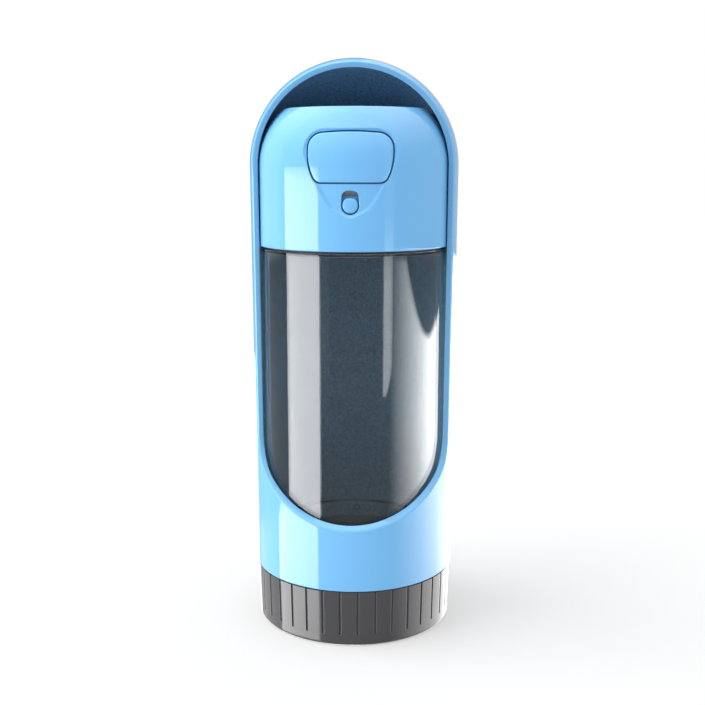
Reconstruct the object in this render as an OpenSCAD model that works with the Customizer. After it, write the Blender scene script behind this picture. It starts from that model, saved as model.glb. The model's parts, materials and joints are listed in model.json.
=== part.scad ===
// Travel water bottle for dogs: a clear tank in a shell whose domed hood is the
// drinking scoop, a head with a press button and a lock, and a screw cap below.
// Millimetres. Origin at the middle of the cap's underside, +Z up, front at -Y.

/* [Shell] */
// Outer radius of the shell where the hood's dome starts
shell_r = 37; // [36.5:0.1:40]
// How much narrower the shell is at its lower edge
shell_taper = 0.85; // [0:0.05:1]
// Wall thickness of the shell
shell_wall = 2; // [1.6:0.1:2.2]
// Height at which the dome starts
dome_z = 166.2; // [160:0.2:180]
// Distance of the window's upright plane in front of the axis
window_y = 12; // [8:0.5:18]
// Height at which the window's rim turns forward
window_turn_z = 72.3; // [60:0.5:90]
// Radius of the window rim's turn
window_turn_r = 20; // [12:0.5:24]
// Slope of the window's lower rim, in degrees below level
window_slope = 40; // [30:1:50]

/* [Tank] */
// Gap between the shell's wall and the tank
tank_gap = 2; // [1.8:0.1:3]
// Wall thickness of the tank
tank_wall = 2; // [1.6:0.1:2.4]
// Wall thickness of the tank's mouth, which the cap's plug fits
mouth_wall = 2; // [1.8:0.1:2.4]
// How far the tank's lower, threaded neck lies inside its wall
mouth_step = 1.2; // [1:0.1:1.4]
// Height of the tank's open lower edge
mouth_z = 5; // [4.8:0.1:8]
// Height at which the thick lower wall ends
mouth_wall_top_z = 32.4; // [29:0.2:45]
// Height of the tank's upper shoulder
shoulder_z = 137; // [130:0.5:140]
// How far the tank's upper neck lies inside its wall
neck_step = 2.6; // [2.2:0.1:3.2]
// Wall thickness of the upper neck
neck_wall = 2; // [1.6:0.1:2.4]
// Length of the upper neck above the shoulder
neck_len = 8.5; // [8:0.1:9]
// Thickness of the flange that carries the shell
flange_t = 1.4; // [1:0.1:2]

/* [Head] */
// Gap between the shell's wall and the head
head_gap = 1.35; // [0.8:0.05:1.7]
// Wall thickness of the head
head_wall = 2; // [1.6:0.1:2.2]
// Height of the head above its gasket
head_h = 47.5; // [47:0.1:49]
// Radius of the head's rounded shoulder
head_round = 26; // [24:0.5:28]
// How far the shoulder's rounding stops short of the head's flat top
head_rim = 9.15; // [8:0.05:10]
// Thickness of the gasket under the head
gasket_t = 1.2; // [0.8:0.1:1.5]
// Depth of the shield-shaped recess near its tip
recess_depth = 0.25; // [0.15:0.05:0.4]
// How much the recess deepens upwards, in degrees
recess_tilt = 1.1; // [0.5:0.1:1.4]

/* [Button] */
// Height of the button's middle above the tank's shoulder
button_up = 32.1; // [31.8:0.1:32.6]
// Height of the button
button_h = 16.4; // [15:0.1:17]
// Width of the button near its top
button_w = 28; // [25:0.2:29]
// Width of the button at its bottom
button_foot_w = 25; // [24:0.1:26]
// Corner radius at the button's top
button_corner = 5; // [3:0.1:6]
// Corner radius at the button's bottom
button_foot_corner = 2.75; // [2:0.05:4]
// Gap around the button
button_gap = 0.3; // [0.2:0.05:0.4]
// Travel of the button
button_travel = 2.5; // [2:0.1:2.6]
// How far the button's flange reaches behind the wall
button_flange = 1.2; // [1:0.1:1.4]
// Radius of the push rod
rod_r = 2; // [1.6:0.1:2.2]

/* [Lock] */
// Height of the slot's lower end above the tank's shoulder
slot_up = 13.4; // [13.2:0.1:14]
// Width of the slot
slot_w = 5.9; // [5:0.1:6.5]
// Width of the slot near its top
slot_top_w = 5.6; // [4.6:0.1:6.2]
// Height of the slot
slot_h = 7.9; // [7.5:0.1:8.2]
// Travel of the lock slider
lock_travel = 2.4; // [2:0.1:2.5]

/* [Valve] */
// Bore radius of the outlet
outlet_r = 5; // [4:0.1:5.4]
// Outer radius of the outlet seat
seat_r = 7; // [6.6:0.1:7.6]
// Inner radius of the wet chamber
chamber_r = 12.5; // [12:0.1:13.5]
// Wall thickness of the wet chamber
chamber_wall = 1.7; // [1.4:0.1:2]
// Radius of the valve stem
stem_r = 1.75; // [1.5:0.05:1.9]
// Height of the crank's pin above the tank's shoulder
pin_up = 24; // [23.5:0.1:24.5]
// Length of each arm of the bell crank
crank_arm = 8; // [7.6:0.1:8.2]
// Radius of the crank's pin
pin_r = 1; // [0.8:0.05:1.2]
// Wire thickness of the springs
spring_wire = 0.7; // [0.5:0.05:0.8]

/* [Filter] */
// Gap between the tank's neck and the filter's case
filter_gap = 4.6; // [4:0.2:8]
// Height of the filter's case
filter_h = 9.3; // [9:0.1:10]
// Thickness of the carbon bed
carbon_t = 3.7; // [3:0.1:3.8]

/* [Cap] */
// Height of the cap's side
cap_h = 20.2; // [18:0.1:20.3]
// How much narrower the cap's top is than the shell above it
cap_step = 0.25; // [0.1:0.05:0.4]
// How much narrower the cap is above its rounded foot than at its top
cap_taper = 0.5; // [0.1:0.05:0.8]
// Radius of the rounding at the cap's foot
cap_round = 2; // [1:0.1:3]
// Wall thickness of the cap's ribbed skin
cap_wall = 1.45; // [1.3:0.05:1.6]
// Wall thickness of the cap's threaded core
core_wall = 1.9; // [1.6:0.1:2]
// Number of grip grooves around the cap
groove_n = 36; // [24:1:48]
// Width of a grip groove
groove_w = 0.8; // [0.5:0.05:1.2]
// Depth of a grip groove
groove_d = 0.6; // [0.3:0.05:0.8]
// Height of a grip groove's lower end
groove_z = 4; // [3.5:0.1:8]
// Height of the plug's top
plug_top_z = 26.3; // [24:0.1:30]
// Radius of the shallow ring in the plug's top
plug_ring_r = 22; // [14:0.5:25]

/* [Hidden] */
$fn = 96;

// Clearances
slip = 0.02;        // between a pin or rod and the piece that grips it
run = 0.05;         // around a turning pin or a sliding rod
free = 0.3;         // between curved faces that must not rub
seam = 0.3;         // visible gap between the cap and the shell
eps = 0.01;         // overlap of shapes that are joined or cut
big = 300;          // longer than the whole bottle

// Radii that follow from the shell's
shell_foot_r = shell_r - shell_taper;
tank_r = shell_r - shell_wall - tank_gap;
mouth_neck_r = tank_r - mouth_step;
mouth_r = mouth_neck_r - mouth_wall;
neck_r = tank_r - neck_step;
head_r = shell_r - shell_wall - head_gap;
filter_r = neck_r - neck_wall - filter_gap;
cap_r = shell_foot_r - cap_step;
cap_foot_r = cap_r - cap_taper;

// Heights that follow from the sizes above
flange_z = cap_h + seam + 0.2;
lip_z = flange_z + flange_t;
lip_h = 2.5;
head_z = shoulder_z + gasket_t;
head_top_z = head_z + head_h;
neck_top_z = shoulder_z + neck_len;
deck_seal_t = 1;
deck_t = 2;
deck_z = neck_top_z + deck_seal_t;
deck_top_z = deck_z + deck_t;
roof_z = head_top_z - head_wall;
button_z = shoulder_z + button_up;
slot_z = shoulder_z + slot_up;
pin_z = shoulder_z + pin_up;
pad_z = pin_z + crank_arm;

// Crank and valve
pad_r = 1.2;
hub_r = 2.6;
crank_gap = 0.15;
arm_t = 2;
arm_half = 1.6;     // half the width of the upright arm
arm_front = 0.3;    // how far that arm reaches in front of the pin
crank_y = -crank_arm;
collar_r = 4.3;
collar_t = 1.5;
collar_top_z = pin_z - pad_r - crank_gap;
tine_in = stem_r + 0.35;
tine_w = 1.7;
tine_out = tine_in + tine_w;
stem_bottom_z = deck_z;
guide_z = deck_z - 3;
guide_r = stem_r + 1.3;
seat_drop = 5;
seat_bottom_z = roof_z - seat_drop;
valve_gap = 0.1;
plug_t = 2;
plug_z = seat_bottom_z - valve_gap - plug_t;
plug_rim = 1.6;
nub_h = 3;
stem_hold = 1.5;
foot_t = 0.9;
foot_r = 4;
port_r = rod_r + 1.1;
boss_r = port_r + 2;
boss_front_y = chamber_r + chamber_wall + 1.8;
seal_flange_t = 1.4;
spring_y = boss_front_y + seal_flange_t;
flange_gap = 0.15;
flange_wall = 1.2;

// Shield-shaped recess round the button and the slot
shield_corner = 7.5;
shield_tip_r = 4;
shield_over = 1.2;
shield_beside = 1.7;
shield_under = 1.2;
shield_bow = 0.6;        // how far the side arcs stay inside the widest point
shield_side_r = 20;
shield_side_z = 3.3;
shield_foot_x = 0.4;
shield_foot_z = 12.5;
shield_foot_r = 50;
button_arch = 0.4;
button_arch_r = 100;
button_side_r = 20;
button_side_z = 1.4;
gasket_in = 0.5;         // how far the gasket's edge lies inside the tank's
slot_corner = 0.37;     // corner radius at the top of the slot and knob, as a share of their width
knob_play = 0.4;        // gap round the knob

// Push rod, button boss and spring seats
rod_skin = 0.9;
rod_hold = 3.9;
boss_depth = 8;
spring_gap = 0.05;

// Profiles -------------------------------------------------------------------

// Solid of the head's outer form, drawn in by inset
module head_form(inset) {
    round_z = head_top_z - sqrt(pow(head_round, 2) - pow(head_round - head_rim, 2));
    r_mid = head_r - head_round;
    union() {
        translate([0, 0, head_z])
            cylinder(r = head_r - inset, h = round_z - head_z);
        rotate_extrude()
            intersection() {
                union() {
                    translate([r_mid, round_z])
                        circle(r = head_round - inset);
                    translate([0, round_z])
                        square([r_mid + eps, head_round - inset]);
                }
                translate([0, round_z])
                    square([head_r, head_top_z - inset - round_z]);
            }
    }
}

// Points of an arc from angle a0 to a1, mirrored in x = 0 when side is -1
function arc(side, x, z, r, a0, a1, n = 12) =
    [for (i = [0:n]) let (a = a0 + (a1 - a0) * i / n) [side * (x + r * cos(a)), z + r * sin(a)]];

// Outline of the button, grown by grow, in the X-Z plane: bowed sides and top between its corners
module button_outline(grow) {
    top = button_h / 2 - button_corner;
    foot = -button_h / 2 + button_foot_corner;
    hull() {
        for (side = [-1, 1]) {
            translate([side * (button_w / 2 - button_corner), top - button_arch])
                circle(r = button_corner + grow, $fn = 32);
            translate([side * (button_foot_w / 2 - button_foot_corner), foot])
                circle(r = button_foot_corner + grow, $fn = 32);
            polygon(arc(side, button_w / 2 - button_side_r, button_side_z,
                button_side_r + grow, -19, -2));
        }
        polygon(arc(1, 0, button_h / 2 - button_arch_r, button_arch_r + grow, 85, 95));
    }
}

// Shield outline of the recess, in the X-Z plane, measured from the button's middle
module shield_outline() {
    corner = shield_corner;
    top = button_h / 2 + shield_over;
    half_w = button_w / 2 + shield_beside;
    tip = slot_z - shield_under - button_z;
    hull() {
        for (side = [-1, 1]) {
            translate([side * (half_w - corner), top - corner])
                circle(r = corner, $fn = 32);
            polygon(arc(side, half_w - shield_bow - shield_side_r, shield_side_z,
                shield_side_r, -25, -5));
            polygon(arc(side, half_w + shield_foot_x - shield_foot_r, shield_foot_z,
                shield_foot_r, -36, -25));
        }
        translate([0, tip + shield_tip_r])
            circle(r = shield_tip_r, $fn = 32);
    }
}

// Stands an outline in the X-Z plane at height z and extrudes it from y0 to y1
module front_prism(z, y0, y1) {
    translate([0, y1, z])
        rotate([90, 0, 0])
            linear_extrude(height = y1 - y0)
                children();
}

// Outline of the slot and of its knob: round below, with corners above
module slot_outline(w, top_w, h) {
    corner = top_w * slot_corner;
    hull() {
        translate([0, w / 2])
            circle(r = w / 2, $fn = 48);
        for (side = [-1, 1])
            translate([side * (top_w / 2 - corner), h - corner])
                circle(r = corner, $fn = 48);
    }
}

// Ring between radii r0 and r1 from z upwards
module ring(r0, r1, z, h) {
    translate([0, 0, z])
        difference() {
            cylinder(r = r1, h = h);
            translate([0, 0, -eps])
                cylinder(r = r0, h = h + 2 * eps);
        }
}

// Cylinder along +Y from y0 to y1 at height z
module y_cylinder(r, y0, y1, x, z) {
    translate([x, y0, z])
        rotate([-90, 0, 0])
            cylinder(r = r, h = y1 - y0);
}

// Cylinder along X, centred on x = 0
module x_cylinder(r, half, y, z) {
    translate([-half, y, z])
        rotate([0, 90, 0])
            cylinder(r = r, h = 2 * half);
}

// Coil spring along +Z from the origin: mean radius r, n turns and height h
coil_steps = 14;
coil_sides = 6;
function coil_point(r, n, h, wire, i, k) =
    let (turn = 360 * i / coil_steps)
    let (side = 360 * k / coil_sides)
    let (out = r + wire / 2 * cos(side))
    [out * cos(turn), out * sin(turn),
     wire / 2 + (h - wire) * i / (n * coil_steps) + wire / 2 * sin(side)];
module coil(r, n, h, wire) {
    last = n * coil_steps;
    points = [for (i = [0:last]) for (k = [0:coil_sides - 1])
        coil_point(r, n, h, wire, i, k)];
    sides = [for (i = [0:last - 1]) for (k = [0:coil_sides - 1])
        let (a = i * coil_sides + k)
        let (b = i * coil_sides + (k + 1) % coil_sides)
        each [[a, b, b + coil_sides], [a, b + coil_sides, a + coil_sides]]];
    start = [for (k = [1:coil_sides - 2]) [0, k + 1, k]];
    first = last * coil_sides;
    end = [for (k = [1:coil_sides - 2]) [first, first + k, first + k + 1]];
    polyhedron(points = points, faces = concat(sides, start, end));
}

// Shell and tank -------------------------------------------------------------

// Space that the front window takes out of the shell
module window_cut() {
    y_mid = window_y + window_turn_r;
    touch_y = y_mid - window_turn_r * sin(window_slope);
    touch_z = window_turn_z - window_turn_r * cos(window_slope);
    far_y = shell_r + 10;
    far_z = touch_z - (far_y - touch_y) * tan(window_slope);
    translate([-big / 2, 0, 0])
        rotate([90, 0, 90])
            linear_extrude(height = big)
                union() {
                    translate([-y_mid, window_turn_z])
                        circle(r = window_turn_r);
                    polygon([[-window_y, window_turn_z], [-window_y, big],
                        [-far_y, big], [-far_y, far_z], [-touch_y, touch_z]]);
                }
}

// Shell's form drawn in by inset: a slightly tapered tube under a half ball
module shell_form(inset) {
    foot_z = cap_h + seam;
    translate([0, 0, foot_z])
        cylinder(r1 = shell_foot_r - inset, r2 = shell_r - inset, h = dome_z - foot_z);
    intersection() {
        translate([0, 0, dome_z])
            sphere(r = shell_r - inset);
        translate([0, 0, dome_z - eps])
            cylinder(r = shell_r + 1, h = shell_r + 1);
    }
}

module scoop_shell() {
    color("#7dbef5")
        difference() {
            union() {
                difference() {
                    shell_form(0);
                    shell_form(shell_wall);
                    translate([0, 0, cap_h])
                        cylinder(r = shell_foot_r - shell_wall, h = seam + eps);
                }
                ring(tank_r + flange_gap, shell_foot_r - shell_wall / 2, lip_z, lip_h);
            }
            window_cut();
        }
}

module tank() {
    color("#46505a")
        difference() {
            union() {
                translate([0, 0, mouth_z])
                    cylinder(r = mouth_neck_r, h = flange_z - mouth_z + eps);
                translate([0, 0, flange_z])
                    cylinder(r = shell_foot_r - shell_wall - free, h = flange_t);
                translate([0, 0, lip_z - eps])
                    cylinder(r = tank_r, h = shoulder_z - lip_z + eps);
                translate([0, 0, shoulder_z - eps])
                    cylinder(r = neck_r, h = neck_len + eps);
            }
            translate([0, 0, mouth_z - eps])
                cylinder(r = mouth_r, h = mouth_wall_top_z - mouth_z + eps);
            translate([0, 0, mouth_wall_top_z - eps])
                cylinder(r = tank_r - tank_wall, h = shoulder_z - tank_wall - mouth_wall_top_z + eps);
            translate([0, 0, shoulder_z - tank_wall - eps])
                cylinder(r = neck_r - neck_wall, h = big);
        }
}

module neck_gasket() {
    color("#2b2e33")
        ring(neck_r + flange_gap, tank_r - gasket_in, shoulder_z, gasket_t);
}

// Head -----------------------------------------------------------------------

screw_x = 7;
screw_up = 4.6;
screw_post_r = 2;
screw_r = 0.9;
screw_head_r = 1.7;
screw_head_t = 1;
slider_y = head_r - head_wall - 0.65;
slider_t = 1.2;
keeper_y = slider_y - slider_t - 0.2;
keeper_t = 1.2;

module head_housing() {
    color("#7dbef5")
        difference() {
            union() {
                difference() {
                    head_form(0);
                    head_form(head_wall);
                    translate([0, 0, head_z - 1])
                        cylinder(r = head_r - head_wall, h = 1 + eps);
                    difference() {
                        front_prism(button_z, -head_r - 1, 0)
                            shield_outline();
                        translate([0, recess_depth, slot_z])
                            rotate([-recess_tilt, 0, 0])
                                translate([0, 0, -slot_z])
                                    head_form(0);
                    }
                }
                intersection() {
                    for (side = [-1, 1])
                        y_cylinder(screw_post_r, -head_r, -keeper_y, side * screw_x, slot_z + screw_up);
                    head_form(head_wall / 2);
                }
            }
            front_prism(button_z, -head_r - 1, -chamber_r - chamber_wall)
                button_outline(button_gap);
            front_prism(slot_z, -head_r - 1, -chamber_r - chamber_wall)
                slot_outline(slot_w, slot_top_w, slot_h);
            for (side = [-1, 1])
                y_cylinder(screw_r + slip, -slider_y, -keeper_y + eps, side * screw_x, slot_z + screw_up);
            translate([0, 0, roof_z - 1])
                cylinder(r = seat_r + 0.1, h = head_wall + 2);
        }
}

module button() {
    color("#7dbef5") {
        difference() {
            union() {
                intersection() {
                    front_prism(button_z, -head_r - 1, 0)
                        button_outline(0);
                    difference() {
                        head_form(0);
                        head_form(head_wall + flange_gap + flange_wall);
                    }
                }
                intersection() {
                    front_prism(button_z, -head_r - 1, 0)
                        button_outline(button_flange);
                    difference() {
                        head_form(head_wall + flange_gap);
                        head_form(head_wall + flange_gap + flange_wall);
                    }
                }
                intersection() {
                    y_cylinder(rod_r + rod_skin, -head_r, -head_r + boss_depth, 0, pad_z);
                    head_form(head_wall);
                }
            }
            y_cylinder(rod_r + slip, -head_r + rod_hold, -head_r + boss_depth + 1, 0, pad_z);
        }
    }
}

module push_rod() {
    color("#c9ccd0")
        y_cylinder(rod_r, -head_r + rod_hold + free / 3, crank_y - pad_r - crank_gap, 0, pad_z);
}

module rod_seal() {
    color("#3a3d42")
        difference() {
            union() {
                y_cylinder(port_r - run, -boss_front_y, -chamber_r, 0, pad_z);
                y_cylinder(port_r + 1.3, -boss_front_y - seal_flange_t, -boss_front_y, 0, pad_z);
            }
            y_cylinder(rod_r + run, -boss_front_y - 5, 0, 0, pad_z);
        }
}

module button_spring() {
    color("#b9bcc2")
        translate([0, -spring_y - spring_gap, pad_z])
            rotate([90, 0, 0])
                coil(rod_r + 1.5, 5, head_r - rod_hold - spring_y - free, spring_wire);
}

module lock_slider() {
    knob_w = slot_w - 2 * knob_play;
    knob_top_w = min(knob_w, slot_top_w - 2 * free);
    knob_h = slot_h - lock_travel - knob_play - 0.1;
    plate_half = 4.2;
    plate_h = 5.8;
    color("#7dbef5")
        union() {
            intersection() {
                front_prism(slot_z + knob_play, -head_r - 1, -slider_y + 0.2)
                    slot_outline(knob_w, knob_top_w, knob_h);
                head_form(recess_depth);
            }
            translate([-plate_half, -slider_y, slot_z + 0.3])
                cube([2 * plate_half, slider_t, plate_h]);
        }
}

module lock_keeper() {
    keeper_half = 9;
    keeper_h = 8.4;
    color("#dfe3e8")
        difference() {
            translate([-keeper_half, -keeper_y, slot_z + 0.3])
                cube([2 * keeper_half, keeper_t, keeper_h]);
            for (side = [-1, 1])
                y_cylinder(screw_r + 0.1, -keeper_y - 1, -keeper_y + keeper_t + 1,
                    side * screw_x, slot_z + screw_up);
        }
}

module keeper_screws() {
    color("#b9bcc2")
        for (side = [-1, 1]) {
            y_cylinder(screw_r, -slider_y + 0.3, -keeper_y + keeper_t + eps,
                side * screw_x, slot_z + screw_up);
            y_cylinder(screw_head_r, -keeper_y + keeper_t, -keeper_y + keeper_t + screw_head_t,
                side * screw_x, slot_z + screw_up);
        }
}

// Valve ----------------------------------------------------------------------

deck_r = head_r - head_wall - 0.35;
deck_port_n = 6;
deck_port_r = 2.2;
deck_port_circle = 8.4;
skirt_wall = 1.4;
skirt_h = 3.5;

module deck() {
    color("#dfe3e8")
        difference() {
            union() {
                translate([0, 0, deck_z])
                    cylinder(r = deck_r, h = deck_t);
                ring(filter_r + 0.15, filter_r + 0.15 + skirt_wall, deck_z - skirt_h, skirt_h + eps);
                translate([0, 0, guide_z])
                    cylinder(r = guide_r, h = deck_top_z + 2 - guide_z);
            }
            translate([0, 0, guide_z - 1])
                cylinder(r = stem_r + run, h = big);
            for (i = [0:deck_port_n - 1])
                rotate([0, 0, 360 / deck_port_n * (i + 0.5)])
                    translate([deck_port_circle, 0, deck_z - 1])
                        cylinder(r = deck_port_r, h = deck_t + 2, $fn = 32);
        }
}

module deck_seal() {
    color("#3a3d42")
        ring(neck_r - neck_wall + 0.2, neck_r - 0.2, neck_top_z, deck_seal_t);
}

module valve_chamber() {
    wall_r = chamber_r + chamber_wall;
    ear_in = tine_out + free;
    color("#dfe3e8")
        difference() {
            union() {
                ring(chamber_r, wall_r, deck_top_z, roof_z - deck_top_z);
                ring(seat_r + 0.1, chamber_r + eps, roof_z - 2, 2);
                intersection() {
                    difference() {
                        x_cylinder(2.3, wall_r, crank_y, pin_z);
                        translate([-ear_in, -wall_r, pin_z - 5])
                            cube([2 * ear_in, 2 * wall_r, 10]);
                    }
                    translate([0, 0, deck_top_z])
                        cylinder(r = wall_r - eps, h = roof_z - deck_top_z);
                }
                difference() {
                    y_cylinder(boss_r, -boss_front_y, -chamber_r - chamber_wall / 2, 0, pad_z);
                    translate([0, 0, deck_top_z])
                        cylinder(r = chamber_r, h = roof_z - deck_top_z);
                }
            }
            y_cylinder(port_r, -boss_front_y - 1, 0, 0, pad_z);
            x_cylinder(pin_r + slip, wall_r + 1, crank_y, pin_z);
        }
}

module outlet_seat() {
    color("#dfe3e8")
        difference() {
            union() {
                translate([0, 0, seat_bottom_z])
                    cylinder(r = seat_r, h = head_top_z - seat_bottom_z + eps);
                translate([0, 0, head_top_z])
                    cylinder(r1 = seat_r + 2.5, r2 = seat_r + 1.7, h = 0.8);
            }
            translate([0, 0, seat_bottom_z - 1])
                cylinder(r = outlet_r, h = seat_drop + head_wall + 3);
        }
}

module valve_plug() {
    color("#3a3d42")
        difference() {
            union() {
                translate([0, 0, plug_z])
                    cylinder(r = outlet_r + plug_rim, h = plug_t);
                translate([0, 0, plug_z + plug_t - eps])
                    cylinder(r1 = outlet_r - 1, r2 = outlet_r - 2.5, h = nub_h);
            }
            translate([0, 0, plug_z - 1])
                cylinder(r = stem_r + slip, h = 1 + stem_hold + 0.1);
        }
}

module valve_stem() {
    color("#dfe3e8")
        union() {
            translate([0, 0, stem_bottom_z])
                cylinder(r = stem_r, h = plug_z + stem_hold - stem_bottom_z);
            translate([0, 0, collar_top_z - collar_t])
                cylinder(r = collar_r, h = collar_t);
            translate([0, 0, plug_z - foot_t])
                cylinder(r = foot_r, h = foot_t);
        }
}

module valve_spring() {
    spring_z = deck_top_z + spring_gap;
    color("#b9bcc2")
        translate([0, 0, spring_z])
            coil(guide_r + 0.65, 5, collar_top_z - collar_t - spring_z - spring_gap, spring_wire);
}

module bell_crank() {
    color("#dfe3e8")
        difference() {
            union() {
                x_cylinder(hub_r, tine_out, crank_y, pin_z);
                translate([-arm_half, crank_y - arm_front, pin_z])
                    cube([2 * arm_half, arm_t, crank_arm]);
                x_cylinder(pad_r, arm_half, crank_y, pad_z);
                for (side = [-1, 1])
                    translate([side * (tine_in + tine_w / 2), 0, 0]) {
                        translate([-tine_w / 2, crank_y, pin_z - arm_t / 2])
                            cube([tine_w, crank_arm, arm_t]);
                        x_cylinder(pad_r, tine_w / 2, 0, pin_z);
                    }
            }
            x_cylinder(pin_r + run, tine_out + 1, crank_y, pin_z);
        }
}

module crank_pin() {
    color("#b9bcc2")
        x_cylinder(pin_r, chamber_r - 1, crank_y, pin_z);
}

// Filter ---------------------------------------------------------------------

case_wall = 1.2;
case_z = deck_z - filter_h;

// Rings of small holes through a disc, n per step of radius
module sieve(z, h) {
    for (ring_i = [1:3])
        for (i = [0:ring_i * 6 - 1])
            rotate([0, 0, 360 * i / (ring_i * 6)])
                translate([ring_i * 6, 0, z])
                    cylinder(r = 1.6, h = h, $fn = 16);
}

module filter_case() {
    color("#dfe3e8")
        difference() {
            translate([0, 0, case_z])
                cylinder(r = filter_r, h = filter_h);
            translate([0, 0, case_z + case_wall])
                cylinder(r = filter_r - case_wall, h = filter_h);
            sieve(case_z - 1, case_wall + 2);
        }
}

module filter_media() {
    color("#1f2124")
        translate([0, 0, case_z + case_wall])
            cylinder(r = filter_r - case_wall - 0.1, h = carbon_t);
}

module filter_screen() {
    color("#f2f3f4")
        translate([0, 0, case_z + case_wall + carbon_t])
            cylinder(r = filter_r - case_wall - 0.1, h = 0.8);
}

// Cap ------------------------------------------------------------------------

skin_floor = 2.2;
foot_recess = 0.8;
foot_recess_r = 24;
core_r = cap_foot_r - cap_wall + 0.3;
core_floor = 2;
plug_r = mouth_r - 0.4;
plug_wall = 3;
seal_wire_r = 0.95;
seal_z = 15;
seal_mid_r = mouth_r - 0.06 - seal_wire_r;

module groove() {
    reach = 3;
    lean = atan((cap_r - cap_foot_r) / (cap_h - cap_round));
    translate([cap_foot_r - groove_d, 0, cap_round])
        rotate([0, lean, 0])
            rotate([90, 0, 90])
                linear_extrude(height = reach)
                    union() {
                        translate([0, groove_z - cap_round + groove_w / 2])
                            circle(r = groove_w / 2, $fn = 16);
                        translate([-groove_w / 2, groove_z - cap_round + groove_w / 2])
                            square([groove_w, cap_h]);
                    }
}

module base_cap() {
    color("#4b4e53")
        difference() {
            union() {
                translate([0, 0, cap_round])
                    cylinder(r1 = cap_foot_r, r2 = cap_r, h = cap_h - cap_round);
                rotate_extrude()
                    union() {
                        translate([cap_foot_r - cap_round, cap_round])
                            intersection() {
                                circle(r = cap_round);
                                translate([0, -cap_round])
                                    square([cap_round, cap_round + eps]);
                            }
                        square([cap_foot_r - cap_round + eps, cap_round + eps]);
                    }
            }
            translate([0, 0, skin_floor])
                cylinder(r = core_r + slip, h = cap_h);
            translate([0, 0, -1])
                cylinder(r = foot_recess_r, h = 1 + foot_recess);
            for (i = [0:groove_n - 1])
                rotate([0, 0, -90 + 360 / groove_n * (i + 0.43)])
                    groove();
        }
}

module cap_core() {
    color("#53565b")
        difference() {
            union() {
                translate([0, 0, skin_floor])
                    cylinder(r = core_r, h = core_floor);
                ring(core_r - core_wall, core_r, skin_floor, cap_h - skin_floor);
                translate([0, 0, skin_floor])
                    cylinder(r = plug_r, h = plug_top_z - skin_floor);
            }
            translate([0, 0, skin_floor - 1])
                cylinder(r = plug_r - plug_wall, h = plug_top_z - skin_floor - 1);
            ring(seal_mid_r - seal_wire_r - 0.05, plug_r + 1, seal_z - seal_wire_r - 0.15,
                2 * seal_wire_r + 0.3);
            ring(plug_ring_r - 0.4, plug_ring_r + 0.4, plug_top_z - 0.4, 1);
        }
}

module cap_seal() {
    color("#2b2e33")
        translate([0, 0, seal_z])
            rotate_extrude()
                translate([seal_mid_r, 0])
                    circle(r = seal_wire_r, $fn = 48);
}

scoop_shell();
tank();
neck_gasket();
head_housing();
deck();
deck_seal();
valve_chamber();
outlet_seat();
valve_plug();
valve_stem();
valve_spring();
bell_crank();
crank_pin();
push_rod();
rod_seal();
button();
button_spring();
lock_slider();
lock_keeper();
keeper_screws();
filter_case();
filter_media();
filter_screen();
base_cap();
cap_core();
cap_seal();
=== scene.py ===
"""Looks of the travel water bottle for dogs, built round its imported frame.

Lengths in the shape functions are millimetres; weld() turns them to metres.
"""

import json
import math

import bmesh
import bpy
import numpy as np
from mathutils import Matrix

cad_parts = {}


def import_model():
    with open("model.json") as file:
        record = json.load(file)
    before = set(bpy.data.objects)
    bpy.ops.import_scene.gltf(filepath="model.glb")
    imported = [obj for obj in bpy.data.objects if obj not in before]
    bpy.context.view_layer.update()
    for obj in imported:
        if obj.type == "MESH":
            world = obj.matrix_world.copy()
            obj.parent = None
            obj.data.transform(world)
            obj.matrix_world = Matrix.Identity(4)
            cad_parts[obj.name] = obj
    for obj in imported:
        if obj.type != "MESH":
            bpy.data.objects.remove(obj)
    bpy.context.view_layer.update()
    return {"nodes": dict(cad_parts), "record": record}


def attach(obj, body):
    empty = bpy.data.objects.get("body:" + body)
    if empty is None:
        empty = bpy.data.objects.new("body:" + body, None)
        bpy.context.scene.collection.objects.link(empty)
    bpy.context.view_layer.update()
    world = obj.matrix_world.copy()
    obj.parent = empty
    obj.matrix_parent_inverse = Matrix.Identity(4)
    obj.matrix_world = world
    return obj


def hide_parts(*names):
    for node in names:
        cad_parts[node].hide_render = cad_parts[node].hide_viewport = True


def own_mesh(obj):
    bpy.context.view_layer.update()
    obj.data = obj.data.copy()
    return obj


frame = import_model()

MM = 0.001
WELD_GRAIN = 1e-3

# Sizes of the object. They are the solids' own, apart from small roundings, walls and plays,
# and from the eight with the comment "photo", which come closer to the photograph.
SHELL_R = 37.0
SHELL_FOOT_R = 36.15
SHELL_WALL = 2.0
SHELL_FOOT_Z = 20.5
DOME_Z = 166.2
WINDOW_Y = 12.0
WINDOW_TURN_Z = 72.3
WINDOW_TURN_R = 20.0
WINDOW_SLOPE = math.radians(40.0)
TANK_R = 33.9  # photo
TANK_WALL = 2.0
MOUTH_R = 29.8
MOUTH_NECK_R = 31.8
MOUTH_Z = 5.0
MOUTH_WALL_TOP_Z = 32.4
FLANGE_Z = 20.7
FLANGE_T = 1.4
LIP_H = 2.5
LIP_PLAY = 0.15
SHOULDER_Z = 137.6  # photo
NECK_R = 30.4
NECK_WALL = 2.0
NECK_TOP_Z = 145.5
SHOULDER_WALL = 0.8
HEAD_R = 34.35  # photo
HEAD_WALL = 2.0
HEAD_Z = 138.2
HEAD_TOP_Z = HEAD_Z + 47.5
HEAD_ROUND = 26.0
HEAD_RIM_DROP = 9.15
RECESS_DEPTH = 0.5  # photo
RECESS_TILT = math.radians(0.6)  # photo
BUTTON_Z = 169.1
BUTTON_H = 16.4
BUTTON_W = 28.0
BUTTON_FOOT_W = 25.0
BUTTON_CORNER = 5.0
BUTTON_FOOT_CORNER = 2.75
BUTTON_ARCH = 0.4
BUTTON_ARCH_R = 100.0
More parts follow.
